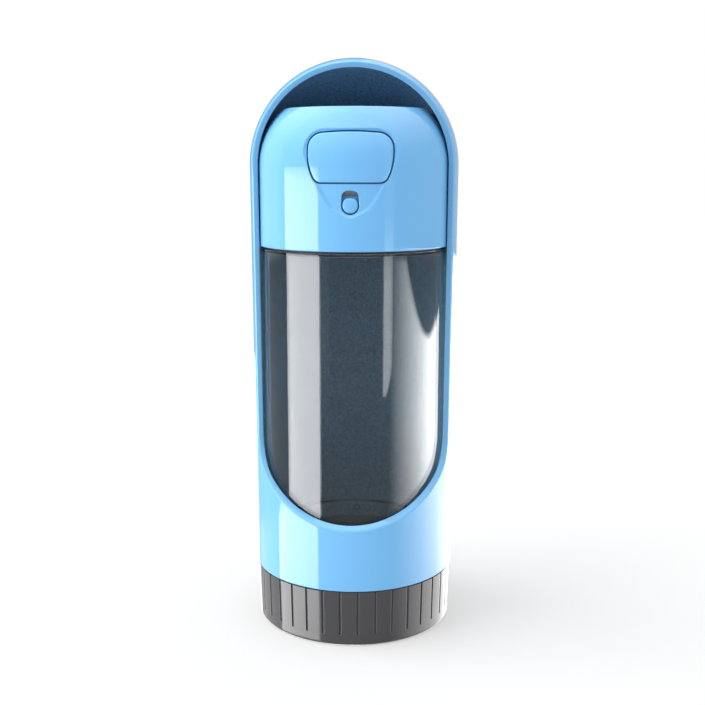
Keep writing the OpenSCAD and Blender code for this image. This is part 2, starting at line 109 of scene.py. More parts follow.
BUTTON_SIDE = (-6.0, 1.4, 20.0, -19.0, -2.0)
SHIELD_CORNER = 7.5
SHIELD_TIP_R = 4.0
SHIELD_OVER = 1.2
SHIELD_BESIDE = 1.7
SHIELD_UNDER = 1.2
SHIELD_SIDE = (-4.9, 3.3, 20.0, -25.0, -5.0)
SHIELD_FOOT = (-33.9, 12.5, 50.0, -36.0, -25.0)
BUTTON_GAP = 0.45  # photo
BUTTON_SUNK = 0.05
BUTTON_FLANGE = 1.2
FLANGE_PLAY = 0.15
OPENING_ROUND = 0.2
SLOT_Z = 150.4
SLOT_W = 5.9
SLOT_TOP_W = 5.6
SLOT_H = 7.9
SLOT_CORNER = 0.37
KNOB_PLAY = 0.4
LOCK_TRAVEL = 2.4
OUTLET_HOLE_R = 7.1
CAP_H = 20.2
CAP_R = SHELL_FOOT_R - 0.25
CAP_FOOT_R = CAP_R - 0.5
CAP_ROUND = 1.3  # photo
CAP_FLOOR = 2.2
CAP_INNER_R = 34.27
FOOT_RECESS_R = 24.0
FOOT_RECESS = 0.8
GROOVE_N = 36
GROOVE_W = 0.8
GROOVE_D = 0.55  # photo
GROOVE_Z = 4.0
GROOVE_SHIFT = -0.07
THREAD_PITCH = 4.0
SPRING_WIRE = 0.7
BUTTON_COIL_R = 3.5
VALVE_COIL_R = 3.7

# ---------------------------------------------------------------- mesh tools


class Skin:
    """Grids of points, in millimetres, that are welded into one closed mesh."""

    def __init__(self):
        self.points = []
        self.quads = []
        self.count = 0

    def grid(self, points):
        """Adds a rows x columns x 3 grid; each cell of four neighbours is a face."""
        rows, cols = points.shape[:2]
        index = np.arange(rows * cols).reshape(rows, cols) + self.count
        quads = np.stack([index[:-1, :-1], index[:-1, 1:], index[1:, 1:], index[1:, :-1]], -1)
        quads = quads.reshape(-1, 4)
        self.quads.append(quads)
        self.points.append(points.reshape(-1, 3))
        self.count += rows * cols

    def weld(self, name, material):
        """Merges points that share a grain, drops collapsed faces, and makes the object."""
        points = np.concatenate(self.points)
        quads = np.concatenate(self.quads)
        keys = np.round(points / WELD_GRAIN).astype(np.int64)
        _, first, inverse = np.unique(keys, axis=0, return_index=True, return_inverse=True)
        points = points[first]
        quads = inverse.reshape(-1)[quads]
        same = quads == np.roll(quads, -1, axis=1)
        whole = quads[~same.any(1)]
        once = same.sum(1) == 1
        kept = quads[once][~same[once]].reshape(-1, 3)
        faces = [tuple(q) for q in whole.tolist()] + [tuple(t) for t in kept.tolist()]
        mesh = bpy.data.meshes.new(name)
        mesh.from_pydata((points * MM).tolist(), [], faces)
        solid = bmesh.new()
        solid.from_mesh(mesh)
        bmesh.ops.recalc_face_normals(solid, faces=solid.faces)
        solid.to_mesh(mesh)
        solid.free()
        mesh.polygons.foreach_set("use_smooth", np.ones(len(mesh.polygons), dtype=bool))
        piece = bpy.data.objects.new(name, mesh)
        bpy.context.scene.collection.objects.link(piece)
        mesh.materials.append(material)
        return piece


def fillet_line(corners, steps=6):
    """Polyline through (r, z, radius) corners, each turned by an arc of that radius."""
    out = []
    last = len(corners) - 1
    for i, (r, z, radius) in enumerate(corners):
        here = np.array([r, z])
        if radius == 0 or i in (0, last):
            out.append(here[None])
            continue
        back = np.array(corners[i - 1][:2]) - here
        ahead = np.array(corners[i + 1][:2]) - here
        back = back / np.linalg.norm(back)
        ahead = ahead / np.linalg.norm(ahead)
        half = math.acos(np.clip(back @ ahead, -1, 1)) / 2
        reach = radius / math.tan(half)
        middle = here + (back + ahead) / np.linalg.norm(back + ahead) * radius / math.sin(half)
        start = here + back * reach - middle
        end = here + ahead * reach - middle
        t = np.linspace(0, 1, steps + 1)[:, None]
        turn = math.acos(np.clip(start @ end / radius**2, -1, 1))
        out.append(middle + (np.sin((1 - t) * turn) * start + np.sin(t * turn) * end) / math.sin(turn))
    return hold_flats(np.concatenate(out))


def hold_flats(line, near=0.25):
    """Adds points near both ends of each long stretch, which keep its smooth shading flat."""
    out = [line[0]]
    for a, b in zip(line[:-1], line[1:]):
        far = np.linalg.norm(b - a)
        if far > 4 * near:
            out += [a + (b - a) * near / far, b + (a - b) * near / far]
        out.append(b)
    return np.array(out)


def revolve(profile, angles):
    """Grid of a profile of (r, z) turned about Z; angle 0 faces the front, -Y."""
    r, z = profile[:, 0:1], profile[:, 1:2]
    a = angles[None, :]
    return np.stack([r * np.sin(a), -r * np.cos(a), z + 0 * a], -1)


def turn_angles(n):
    """n + 1 angles of a full turn."""
    return np.linspace(0, 2 * math.pi, n + 1)


def revolved(name, corners, material, n=160):
    """Closed ring or cap whose (r, z, radius) outline is turned about Z."""
    skin = Skin()
    skin.grid(revolve(fillet_line(corners), turn_angles(n)))
    return skin.weld(name, material)


# ---------------------------------------------------------------- materials


def linear(hex_code):
    """Linear RGBA of an sRGB hex colour."""
    srgb = np.array([int(hex_code[i : i + 2], 16) for i in (1, 3, 5)]) / 255
    rgb = np.where(srgb <= 0.04045, srgb / 12.92, ((srgb + 0.055) / 1.055) ** 2.4)
    return (*rgb.tolist(), 1.0)


def add(tree, kind, settings=None, links=None, **attributes):
    """Adds a node: attributes are its own, settings its sockets', links go into its sockets."""
    node = tree.nodes.new(kind)
    for key, value in attributes.items():
        setattr(node, key, value)
    for key, value in (settings or {}).items():
        node.inputs[key].default_value = value
    for key, source in (links or {}).items():
        tree.links.new(source, node.inputs[key])
    return node


def math_out(tree, op, *ins):
    """Output of a math node; each input is a socket or a number."""
    node = add(tree, "ShaderNodeMath", operation=op)
    for k, value in enumerate(ins):
        if hasattr(value, "links"):
            tree.links.new(value, node.inputs[k])
        else:
            node.inputs[k].default_value = value
    return node.outputs[0]


def new_material(name):
    """An empty node material and its tree, with the output node."""
    material = bpy.data.materials.new(name)
    material.use_nodes = True
    tree = material.node_tree
    tree.nodes.clear()
    return material, tree, tree.nodes.new("ShaderNodeOutputMaterial")


def grain_bump(tree, size_mm, strength, distance_mm):
    """Bump of a fine moulded grain whose cells are size_mm wide."""
    place = add(tree, "ShaderNodeTexCoord")
    noise = add(
        tree, "ShaderNodeTexNoise", {"Scale": 1 / (size_mm * MM), "Detail": 3.0},
        {"Vector": place.outputs["Object"]},
    )
    return add(
        tree, "ShaderNodeBump", {"Strength": strength, "Distance": distance_mm * MM},
        {"Height": noise.outputs["Fac"]},
    )


def moulded(name, colour, roughness, grain_mm, grain_strength, mottle=0.04, cloud_mm=22.0):
    """Moulded plastic: one colour with a faint mottle, and a fine grain from the tool."""
    material, tree, out = new_material(name)
    place = add(tree, "ShaderNodeTexCoord")
    cloud = add(
        tree, "ShaderNodeTexNoise", {"Scale": 1 / (cloud_mm * MM), "Detail": 2.0},
        {"Vector": place.outputs["Object"]},
    )
    shade = [c * (1 - mottle) for c in linear(colour)[:3]] + [1.0]
    blend = add(
        tree, "ShaderNodeMix", {6: shade, 7: linear(colour)}, {0: cloud.outputs["Fac"]}, data_type="RGBA"
    )
    bump = grain_bump(tree, grain_mm, grain_strength, 0.02)
    shader = add(
        tree, "ShaderNodeBsdfPrincipled", {"Roughness": roughness, "IOR": 1.5},
        {"Base Color": blend.outputs[2], "Normal": bump.outputs["Normal"]},
    )
    tree.links.new(shader.outputs["BSDF"], out.inputs["Surface"])
    return material


BLUE_ABS = moulded("gloss_blue_abs", "#76BAEE", 0.07, 0.35, 0.04)
# Cut faces of the window's rim: the shell's blue made darker as painted shade, with a satin finish and a fine
# mottle
RIM_ABS_PAINTED_SHADE = moulded("satin_blue_abs_painted_shade", "#6CABDA", 0.3, 0.5, 0.2, mottle=0.12, cloud_mm=0.9)
# Inside faces of the shell: a greyer blue that a strong dark mottle makes darker on average, as painted shade
# for the deep shade inside the hood; the bump is a grain
INNER_ABS_PAINTED_SHADE = moulded("blue_abs_painted_inner_shade", "#A8DCFA", 0.5, 0.5, 0.5, mottle=0.75, cloud_mm=0.9)
DARK_ABS = moulded("gloss_charcoal_abs", "#464648", 0.10, 0.4, 0.06)
WHITE_POM = moulded("white_pom", "#DFE3E8", 0.35, 0.3, 0.1)
SILICONE = moulded("dark_silicone", "#24262A", 0.45, 0.25, 0.15)
CARBON = moulded("activated_carbon", "#151617", 0.8, 0.9, 1.0, mottle=0.5)
FELT = moulded("nonwoven_felt", "#EDEEEE", 0.9, 0.2, 0.8, mottle=0.1)


def steel():
    """Drawn stainless steel wire: grey, with fine lines that blur its reflections."""
    material, tree, out = new_material("stainless_wire")
    bump = grain_bump(tree, 0.15, 0.1, 0.01)
    shader = add(
        tree, "ShaderNodeBsdfPrincipled",
        {"Base Color": linear("#C4C6C8"), "Metallic": 1.0, "Roughness": 0.28},
        {"Normal": bump.outputs["Normal"]},
    )
    tree.links.new(shader.outputs["BSDF"], out.inputs["Surface"])
    return material


STEEL = steel()


def smoke_tritan():
    """Smoke-tinted clear copolyester, polished. Shadow and diffuse rays pass straight through."""
    material, tree, out = new_material("smoke_copolyester")
    bump = grain_bump(tree, 3.0, 0.01, 0.02)
    glass = add(
        tree, "ShaderNodeBsdfPrincipled",
        {"Base Color": linear("#D4D8DB"), "Roughness": 0.0, "IOR": 1.5, "Transmission Weight": 1.0},
        {"Normal": bump.outputs["Normal"]},
    )
    through = add(tree, "ShaderNodeBsdfTransparent", {"Color": linear("#F6F6F6")})
    path = add(tree, "ShaderNodeLightPath")
    passes = math_out(tree, "MAXIMUM", path.outputs["Is Shadow Ray"], path.outputs["Is Diffuse Ray"])
    both = add(
        tree, "ShaderNodeMixShader", {}, {0: passes, 1: glass.outputs["BSDF"], 2: through.outputs[0]}
    )
    tree.links.new(both.outputs[0], out.inputs["Surface"])
    return material


SMOKE = smoke_tritan()

# ---------------------------------------------------------------- shell


def shell_radius(z, inset):
    """Radius of the shell's surface at height z: a slight cone, then a ball."""
    slope = (SHELL_R - SHELL_FOOT_R) / (DOME_Z - SHELL_FOOT_Z)
    cone = SHELL_FOOT_R + slope * (z - SHELL_FOOT_Z) - inset
    ball = np.sqrt(np.maximum((SHELL_R - inset) ** 2 - (z - DOME_Z) ** 2, 0))
    return np.where(z > DOME_Z, ball, cone)


def window_edge(inset, back, n):
    """Half of the window's edge, from the U's bottom to the dome, n + 1 points evenly apart.

    inset is how far the point lies inside the shell's outer surface, and back how far it lies
    behind the window's cut. Seen from the side the cut is an upright plane, an arc and a slope.
    """
    t = np.linspace(0, 1, 1500)
    turn = WINDOW_TURN_R + back
    top_z = DOME_Z + math.sqrt((SHELL_R - inset) ** 2 - (WINDOW_Y - back) ** 2)
    upright_z = WINDOW_TURN_Z + (top_z - WINDOW_TURN_Z) * np.cos(t * math.pi / 2)
    upright = np.stack([0 * t - WINDOW_Y + back, upright_z], -1)
    angle = -t * (math.pi / 2 - WINDOW_SLOPE)
    mid_y = -WINDOW_Y - WINDOW_TURN_R
    arc = np.stack([mid_y + turn * np.cos(angle), WINDOW_TURN_Z + turn * np.sin(angle)], -1)
    down = np.array([-math.cos(WINDOW_SLOPE), -math.sin(WINDOW_SLOPE)])
    low, high = 0.0, 60.0
    for _ in range(50):
        mid = (low + high) / 2
        y, z = arc[-1] + mid * down
        low, high = (mid, high) if shell_radius(np.array(z), inset) > -y else (low, mid)
    slope = arc[-1] + (low * np.sin(t * math.pi / 2))[:, None] * down
    side = np.concatenate([upright, arc[1:], slope[1:]])[::-1]
    x = np.sqrt(np.maximum(shell_radius(side[:, 1], inset) ** 2 - side[:, 0] ** 2, 0))
    x[0] = x[-1] = 0
    line = np.stack([x, side[:, 0], side[:, 1]], -1)
    run = np.concatenate([[0], np.cumsum(np.linalg.norm(np.diff(line, axis=0), axis=1))])
    even = np.linspace(0, run[-1], n + 1)
    return np.stack([np.interp(even, run, line[:, k]) for k in range(3)], -1)


def shell_wall_rows(edge, cols):
    """Rows of the wall from the window's right edge round the back to its left edge."""
    r = np.hypot(edge[:, 0], edge[:, 1])[:, None]
    start = np.arctan2(edge[:, 0], -edge[:, 1])[:, None]
    a = start + np.linspace(0, 1, cols + 1)[None, :] * (2 * math.pi - 2 * start)
    return np.stack([r * np.sin(a), -r * np.cos(a), edge[:, 2:3] + 0 * a], -1)


def wall_corners(inset, low, high, n):
    """n points (r, z, 0) up the shell's surface, for an outline that is turned about Z."""
    return [(float(shell_radius(np.array(z), inset)), z, 0) for z in np.linspace(low, high, n)]


def shell():
    """Shell with its hood, window and rounded rim, as one closed skin."""
    n, cols = 240, 132
    outer_round, inner_round = 0.55, 0.4
    skin = Skin()
    outer = window_edge(0, outer_round, n)
    inner = window_edge(SHELL_WALL, inner_round, n)
    skin.grid(shell_wall_rows(outer, cols))
    skin.grid(shell_wall_rows(inner, cols))
    a = np.linspace(0, math.pi / 2, 6)
    rim = [(outer_round * (1 - math.cos(v)), outer_round * (1 - math.sin(v))) for v in a]
    rim += [(SHELL_WALL - inner_round * (1 - math.sin(v)), inner_round * (1 - math.cos(v))) for v in a]
    band = np.stack([window_edge(inset, back, n) for inset, back in rim])
    skin.grid(band)
    skin.grid(band * np.array([-1, 1, 1]))
    full = turn_angles(cols)
    for edge, inset in ((outer, 0), (inner, SHELL_WALL)):
        reach = -edge[-1, 1]
        r = reach * np.linspace(1, 0, 14)
        z = DOME_Z + np.sqrt((SHELL_R - inset) ** 2 - r**2)
        skin.grid(revolve(np.stack([r, z], -1), full))
    lip_r, lip_low = TANK_R + LIP_PLAY, FLANGE_Z + FLANGE_T
    lip_high = lip_low + LIP_H
    foot_in = SHELL_FOOT_R - SHELL_WALL
    wall = wall_corners(0, SHELL_FOOT_Z + 0.8, outer[0, 2], 12)
    inside = wall_corners(SHELL_WALL, lip_high, inner[0, 2], 10)
    foot = [(foot_in, lip_low, 0), (foot_in, SHELL_FOOT_Z, 0.2), (SHELL_FOOT_R, SHELL_FOOT_Z, 0.35)]
    lip = [(lip_r, lip_high, 0), (lip_r, lip_low, 0)]
    corners = inside[::-1] + lip + foot + wall
    skin.grid(revolve(fillet_line(corners), full))
    piece = skin.weld("scoop_shell_skin", BLUE_ABS)
    piece.data.materials.append(RIM_ABS_PAINTED_SHADE)
    piece.data.materials.append(INNER_ABS_PAINTED_SHADE)
    # Inward-facing faces get the painted shade of the hood's inside; the rim's cut faces above rim_low get
    # the darker blue of painted shade
    rim_low = 30.0
    for face in piece.data.polygons:
        out = face.center / MM
        out.z = max(out.z - DOME_Z, 0)
        lean = face.normal.dot(out.normalized())
        if lean < -0.5:
            face.material_index = 2
        elif lean < 0.6 and face.center.z > rim_low * MM:
            face.material_index = 1
    return piece


# ---------------------------------------------------------------- outlines


SUPPORT_ANGLES = np.linspace(0, 2 * math.pi, 720, endpoint=False)
SUPPORT = np.stack([np.cos(SUPPORT_ANGLES), np.sin(SUPPORT_ANGLES)], -1)


def circle_points(x, z, r, start=0.0, end=2 * math.pi):
    """Points of a circle, or of its arc from start to end, which are in radians."""
    a = np.linspace(start, end, 240)
    return np.stack([x + r * np.cos(a), z + r * np.sin(a)], -1)


def hull_support(points):
    """Support distances of the hull of points: how far it reaches in each direction."""
    return (points @ SUPPORT.T).max(0)


def inside_by(support, x, z):
    """Signed distance to a hull's edge, negative inside, from its support distances."""
    flat = np.stack([x.ravel(), z.ravel()], -1)
    out = np.full(len(flat), -1e9)
    for k in range(0, len(SUPPORT), 90):
        out = np.maximum(out, (flat @ SUPPORT[k : k + 90].T - support[k : k + 90]).max(1))
    return out.reshape(x.shape)


def edge_reach(support, way):
    """How far the hull's edge lies from the origin in the directions way."""
    toward = way @ SUPPORT.T
    return np.where(toward > 1e-3, support / np.maximum(toward, 1e-3), 1e9).min(-1)


def both_sides(points):
    """Points and their mirror image in x = 0."""
    return np.concatenate([points, points * np.array([-1, 1])])


def arc_points(x, z, r, start, end):
    """Points of an arc, with its angles in degrees from +X."""
    return circle_points(x, z, r, math.radians(start), math.radians(end))


def button_points():
    """Button's outline about its middle: bowed sides and top between its corners."""
    top = BUTTON_H / 2 - BUTTON_CORNER - BUTTON_ARCH
    foot = -BUTTON_H / 2 + BUTTON_FOOT_CORNER
    half, foot_half = BUTTON_W / 2 - BUTTON_CORNER, BUTTON_FOOT_W / 2 - BUTTON_FOOT_CORNER
    return np.concatenate([
        both_sides(circle_points(half, top, BUTTON_CORNER)),
        both_sides(circle_points(foot_half, foot, BUTTON_FOOT_CORNER)),
        both_sides(arc_points(*BUTTON_SIDE)),
        arc_points(0, BUTTON_H / 2 - BUTTON_ARCH_R, BUTTON_ARCH_R, 85, 95),
    ])


def shield_points():
    """Recess's outline about the button's middle: a shield with bowed sides."""
    top, half = BUTTON_H / 2 + SHIELD_OVER, BUTTON_W / 2 + SHIELD_BESIDE
    tip = SLOT_Z - SHIELD_UNDER - BUTTON_Z
    return np.concatenate([
        both_sides(circle_points(half - SHIELD_CORNER, top - SHIELD_CORNER, SHIELD_CORNER)),
        both_sides(arc_points(*SHIELD_SIDE)),
        both_sides(arc_points(*SHIELD_FOOT)),
        circle_points(0, tip + SHIELD_TIP_R, SHIELD_TIP_R),
    ])


def slot_points(w, top_w, h):
    """Outline of the slot or its knob about its middle: round below, with corners above."""
    corner = top_w * SLOT_CORNER
    return np.concatenate([
        circle_points(0, (w - h) / 2, w / 2),
        both_sides(circle_points(top_w / 2 - corner, h / 2 - corner, corner)),
    ])


BUTTON_EDGE = hull_support(button_points())
SHIELD_EDGE = hull_support(shield_points())
SLOT_EDGE = hull_support(slot_points(SLOT_W, SLOT_TOP_W, SLOT_H))

# ---------------------------------------------------------------- head

HEAD_MID_R = HEAD_R - HEAD_ROUND
HEAD_ROUND_Z = HEAD_TOP_Z - math.sqrt(HEAD_ROUND**2 - (HEAD_ROUND - HEAD_RIM_DROP) ** 2)


def head_radius(z, inset=0.0):
    """Radius of the head's form at height z: upright, then a round shoulder."""
    over = np.maximum(z - HEAD_ROUND_Z, 0)
    return HEAD_MID_R + np.sqrt(np.maximum((HEAD_ROUND - inset) ** 2 - over**2, 0))


def head_front(x, z, inset=0.0):
    """Y of the head's front at x, z, without the recess."""
    return -np.sqrt(np.maximum(head_radius(z, inset) ** 2 - x**2, 0))


def recess(x, z):
    """Depth of the shield-shaped recess: full inside its edge, with a sloping step."""
    slope = 0.9
    inside = -inside_by(SHIELD_EDGE, x, z - BUTTON_Z)
    t = np.clip(inside / slope, 0, 1)
    floor = RECESS_DEPTH + np.maximum(z - SLOT_Z, -3) * math.tan(RECESS_TILT)
    return floor * t * t * (3 - 2 * t)


def opening_block(skin, support, middle_z, frame_line, steps):
    """Surface between an opening's rounded edge and a frame round it, outside and inside.

    frame_line is the closed outline (x, z) of the block; each of its points is joined
    to the point of the opening's edge that lies in the same direction.
    """
    way = frame_line - np.array([0, middle_z])
    far = np.linalg.norm(way, axis=1)
    way = way / far[:, None]
    a = np.linspace(0, math.pi / 2, 6)
    grown = OPENING_ROUND * (1 - np.cos(a))
    drop = OPENING_ROUND * (1 - np.sin(a))
    near = np.stack([edge_reach(support + g, way) for g in grown])
    t = np.linspace(0, 1, steps + 1)[1:, None]
    spread = near[-1] + (far - near[-1]) * t
    reach = np.concatenate([near, spread])
    sink = np.concatenate([drop, np.zeros(steps)])[:, None] + 0 * reach
    x = reach * way[:, 0]
    z = middle_z + reach * way[:, 1]
    y = head_front(x, z) + recess(x, z) + sink
    outside = np.stack([x, y, z], -1)
    skin.grid(outside)
    back = np.stack([x, head_front(x, z, HEAD_WALL), z], -1)
    skin.grid(back)
    skin.grid(np.stack([back[0], outside[0]]))


def frame_outline(half_w, low, high, nx, nz):
    """Closed outline of a block: bottom, right, top and left, nx or nz steps a side."""
    xs = np.linspace(-half_w, half_w, nx + 1)
    zs = np.linspace(low, high, nz + 1)
    sides = [
        np.stack([xs, 0 * xs + low], -1),
        np.stack([0 * zs + half_w, zs], -1)[1:],
        np.stack([xs[::-1], 0 * xs + high], -1)[1:],
        np.stack([0 * zs - half_w, zs[::-1]], -1)[1:],
    ]
    return np.concatenate(sides)


def head_angles(xs, z, inset):
    """Angles round the head at height z: the front columns' own, then even ones round the back."""
    front = np.arcsin(xs / float(head_radius(np.array(z), inset)))
    return np.concatenate([front, np.linspace(front[-1], 2 * math.pi + front[0], 91)[1:]])


def head():
    """Head with its recess, the button's opening and the lock's slot, as one closed skin."""
    half_w, low, split, high = 18.0, 147.6, 159.45, 180.3
    nx, nz_low, nz_high = 110, 36, 64
    skin = Skin()
    lower = frame_outline(half_w, low, split, nx, nz_low)
    upper = frame_outline(half_w, split, high, nx, nz_high)
    opening_block(skin, SLOT_EDGE, SLOT_Z + SLOT_H / 2, lower, 26)
    opening_block(skin, BUTTON_EDGE + BUTTON_GAP, BUTTON_Z, upper, 22)
    zs = np.concatenate([np.linspace(low, split, nz_low + 1), np.linspace(split, high, nz_high + 1)[1:]])
    xs = np.linspace(-half_w, half_w, nx + 1)
    for inset in (0, HEAD_WALL):
        r = head_radius(zs, inset)[:, None]
        start = np.arcsin(half_w / r)
        a = start + np.linspace(0, 1, 91)[None, :] * (2 * math.pi - 2 * start)
        skin.grid(np.stack([r * np.sin(a), -r * np.cos(a), zs[:, None] + 0 * a], -1))
    for inset, top_round, foot_round in ((0, 0.7, 0.5), (HEAD_WALL, 0.2, 0.2)):
        top = HEAD_TOP_Z - inset
        rim_r = HEAD_MID_R + math.sqrt((HEAD_ROUND - inset) ** 2 - (top - HEAD_ROUND_Z) ** 2)
        shoulder = [(float(head_radius(np.array(z), inset)), z, 0) for z in np.linspace(high, top - 1.0, 8)]
        shoulder += [(rim_r, top, top_round), (OUTLET_HOLE_R, top, 0)]
        skin.grid(revolve(fillet_line(shoulder), head_angles(xs, high, inset)))
        side = [(HEAD_R - inset, z, 0) for z in np.linspace(low, HEAD_Z + 1.2, 5)]
        side += [(HEAD_R - inset, HEAD_Z, foot_round), (HEAD_R - HEAD_WALL / 2, HEAD_Z, 0)]
        skin.grid(revolve(fillet_line(side), head_angles(xs, low, inset)))
    hole = np.array([[OUTLET_HOLE_R, HEAD_TOP_Z], [OUTLET_HOLE_R, HEAD_TOP_Z - HEAD_WALL]])
    skin.grid(revolve(hole, head_angles(xs, high, 0)))
    return skin.weld("head_skin", BLUE_ABS)


# ---------------------------------------------------------------- button and lock


def pad(name, support, middle_z, depths, material, rounding, crown, front, n=220, rings=22):
    """Solid with a crowned, round-edged front: rings of its outline shrunk towards its middle.

    depths are the rings behind the edge: pairs of an outline's support and its y at x, z.
    """
    a = np.linspace(0, 2 * math.pi, n + 1)
    way = np.stack([np.cos(a), np.sin(a)], -1)
    turn = np.linspace(0, math.pi / 2, 7)
    edge = [edge_reach(support - rounding * (1 - math.sin(t)), way) for t in turn]
    fall = [rounding * (1 - math.cos(t)) for t in turn]
    inner = [edge[0] * t for t in np.linspace(0, 1, rings)[:-1]]
    reach = np.stack(inner + edge)
    sink = np.array([0.0] * len(inner) + fall)[:, None]
    lift = crown * (1 - (reach / edge[0]) ** 2)
    x, z = reach * way[:, 0], middle_z + reach * way[:, 1]
    y = front(x, z) + sink - np.maximum(lift, 0)
    front_rows = np.stack([x, y, z], -1)
    behind = []
    for outline, depth in depths:
        reach = edge_reach(outline, way)
        x, z = reach * way[:, 0], middle_z + reach * way[:, 1]
        behind.append(np.stack([x, depth(x, z), z], -1))
    x, z = 0 * a, middle_z + 0 * a
    behind.append(np.stack([x, depths[-1][1](x, z), z], -1))
    skin = Skin()
    skin.grid(np.concatenate([front_rows, np.stack(behind)]))
    return skin.weld(name, material)


def head_depth(inset):
    """Function of x, z: Y of the head's front, inset deep."""
    return lambda x, z: head_front(x, z, inset)


def flat_depth(y):
    """Function of x, z: the same y everywhere."""
    return lambda x, z: y + 0 * x


def button():
    """Press button, with the flange behind the head's wall that holds it in."""
    flange_t, edge_t = 1.2, 0.2
    flange = BUTTON_EDGE + BUTTON_FLANGE
    outer = HEAD_WALL + FLANGE_PLAY
    depths = [
        (BUTTON_EDGE, head_depth(outer - edge_t)), (BUTTON_EDGE, head_depth(outer)),
        (flange, head_depth(outer)), (flange, head_depth(outer + flange_t)),
    ]
    return pad(
        "button_skin", BUTTON_EDGE, BUTTON_Z, depths, BLUE_ABS, 0.5, 0.0,
        lambda x, z: head_front(x, z) + BUTTON_SUNK,
    )


def lock():
    """Slider: its crowned knob, and the plate behind the head's wall that it is part of."""
    w, h = SLOT_W - 2 * KNOB_PLAY, SLOT_H - LOCK_TRAVEL - KNOB_PLAY - 0.1
    half_plate, plate_h, plate_t, plate_sunk, knob_sunk = 4.2, 5.8, 1.2, 0.65, 0.55
    plate_y = -(HEAD_R - HEAD_WALL - plate_sunk)
    plate_z = SLOT_Z + 0.3
    middle = SLOT_Z + KNOB_PLAY + h / 2
    low, high = plate_z - middle, plate_z + plate_h - middle
    plate = hull_support(np.array([(sx * half_plate, z) for sx in (-1, 1) for z in (low, high)]))
    knob = hull_support(slot_points(w, min(w, SLOT_TOP_W - 0.6), h))
    depths = [
        (knob, flat_depth(plate_y)), (plate, flat_depth(plate_y)), (plate, flat_depth(plate_y + plate_t)),
    ]
    return pad(
        "lock_skin", knob, middle, depths, BLUE_ABS, 0.7, 0.25, flat_depth(-HEAD_R + knob_sunk),
        n=288, rings=10,
    )


# ---------------------------------------------------------------- tank, gasket, cap


def tank():
    """Clear tank: one outline of both walls, turned about Z."""
    inner = TANK_R - TANK_WALL
    under_z = SHOULDER_Z - SHOULDER_WALL
    corners = [
        (MOUTH_R, MOUTH_Z, 0), (MOUTH_NECK_R, MOUTH_Z, 0.3), (MOUTH_NECK_R, FLANGE_Z, 0.1),
        (TANK_R, FLANGE_Z, 0.3), (TANK_R, SHOULDER_Z, 0.4),
        (NECK_R, SHOULDER_Z, 0.2), (NECK_R, NECK_TOP_Z, 0.2),
        (NECK_R - NECK_WALL, NECK_TOP_Z, 0.2), (NECK_R - NECK_WALL, under_z, 0.4),
        (inner, under_z, 0.5), (inner, MOUTH_WALL_TOP_Z, 0.4),
        (MOUTH_R, MOUTH_WALL_TOP_Z - 0.6, 0.4), (MOUTH_R, MOUTH_Z, 0),
    ]
    return revolved("tank_skin", corners, SMOKE, n=192)


def gasket():
    """Flat ring that fills the gap between the tank's shoulder and the head."""
    play, step = 0.15, 0.9
    z0, z1, r0, r1 = SHOULDER_Z, HEAD_Z, NECK_R + play, TANK_R - step
    corners = [(r0, z0, 0), (r1, z0, 0.2), (r1, z1, 0.2), (r0, z1, 0), (r0, z0, 0)]
    return revolved("gasket_ring", corners, SILICONE, n=160)


def cap_radius(z):
    """Radius of the cap's side at height z: a slight cone."""
    return CAP_FOOT_R + (CAP_R - CAP_FOOT_R) * (z - CAP_ROUND) / (CAP_H - CAP_ROUND)


def base_cap():
    """Cap's ribbed skin: a turned outline with grooves pressed into its side.

    A groove is as deep as a half circle of its width, from the cap's top to a round end.
    """
    half = math.pi / GROOVE_N
    cell = np.array([-1, -0.72, -0.45, -0.26, -0.17, -0.128, -0.115, -0.09, -0.05, 0,
                     0.05, 0.09, 0.115, 0.128, 0.17, 0.26, 0.45, 0.72])
    first = GROOVE_SHIFT * 2 * half
    angles = np.concatenate([(2 * k + 1 + cell) * half for k in range(GROOVE_N)] + [[2 * math.pi]])
    groove_zs = [19.6, 15, 11, 8, 6, 5.2, 4.8, 4.6, 4.4, 4.2, 4.1, 4.0, 3.9, 3.6, 3.0]
    corners = [(0, CAP_FLOOR, 0), (CAP_INNER_R, CAP_FLOOR, 0)]
    corners += [(CAP_INNER_R, CAP_H, 0.2), (cap_radius(CAP_H), CAP_H, 0.3)]
    corners += [(cap_radius(z), z, 0) for z in groove_zs]
    corners += [(CAP_FOOT_R, 0, CAP_ROUND), (FOOT_RECESS_R, 0, 0.3)]
    corners += [(FOOT_RECESS_R, FOOT_RECESS, 0.3), (0, FOOT_RECESS, 0)]
    profile = fillet_line(corners, 8)
    points = revolve(profile, angles + first)
    r, z = profile[:, 0:1], profile[:, 1:2]
    along = ((angles / half) % 2 - 1) * half * CAP_R
    below = np.maximum(GROOVE_Z + GROOVE_W / 2 - z, 0)
    away = np.hypot(along[None, :], below) / (GROOVE_W / 2)
    outside = r > CAP_INNER_R + 0.9
    depth = GROOVE_D * np.sqrt(np.clip(1 - away**2, 0, 1)) * outside
    shrink = (r - depth) / np.maximum(r, 1e-6)
    points[..., 0] *= shrink
    points[..., 1] *= shrink
    skin = Skin()
    skin.grid(points)
    return skin.weld("ribbed_cap", DARK_ABS)


def tube_along(points, radius, sides=10):
    """Rings of a round wire round a path, closed at both ends by their middles."""
    ahead = np.gradient(points, axis=0)
    ahead /= np.linalg.norm(ahead, axis=1)[:, None]
    across = np.cross(ahead, [0, 0, 1.0])
    across /= np.linalg.norm(across, axis=1)[:, None]
    over = np.cross(across, ahead)
    a = turn_angles(sides)[None, :, None]
    rings = points[:, None] + radius * (np.cos(a) * across[:, None] + np.sin(a) * over[:, None])
    ends = [np.repeat(points[k][None, None], sides + 1, axis=1) for k in (0, -1)]
    return np.concatenate([ends[0], rings, ends[1]])


